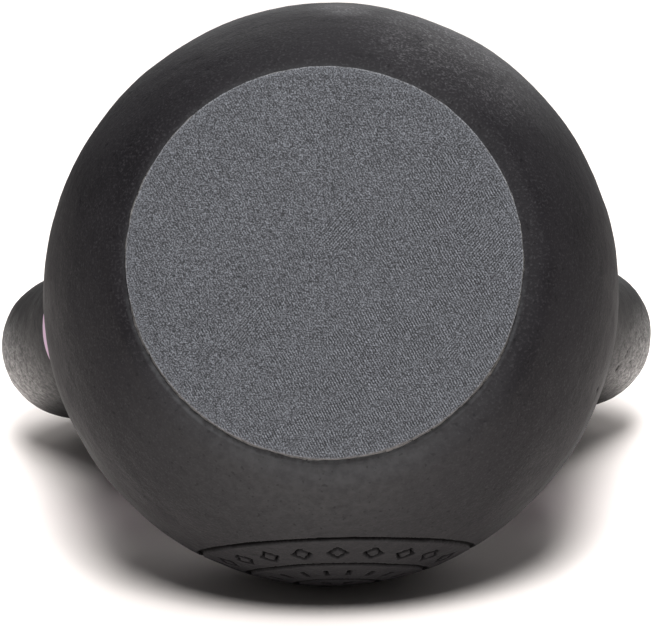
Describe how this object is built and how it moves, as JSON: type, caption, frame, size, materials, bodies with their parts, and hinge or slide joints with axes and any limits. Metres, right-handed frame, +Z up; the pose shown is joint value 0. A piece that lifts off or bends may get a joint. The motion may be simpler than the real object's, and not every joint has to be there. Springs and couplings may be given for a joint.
{
  "type": "kettlebell",
  "caption": "Cast kettlebell with a round ball body, a wide looped handle, pink weight bands, an engraved ring emblem and a textured pad glued under its flat base.",
  "frame": {"origin": "centre of the kettlebell's outline at floor level, on the underside of the base pad", "axes": "+Z up from the base pad through the ball and the handle, X along the grip, +Y out of the emblem's side"},
  "size_m": [0.1514, 0.1216, 0.1925],
  "materials": {
    "powder_coated_iron": "matt black powder coat with a fine grain",
    "pad_rubber": "matt, fine woven imprint",
    "adhesive": "translucent, matt",
    "band_paint": "satin orchid pink enamel"
  },
  "bodies": {
    "root": {"iron_casting": "powder_coated_iron", "base_pad": "pad_rubber", "pad_adhesive": "adhesive", "left_color_band": "band_paint", "right_color_band": "band_paint"}
  },
  "joints": []
}
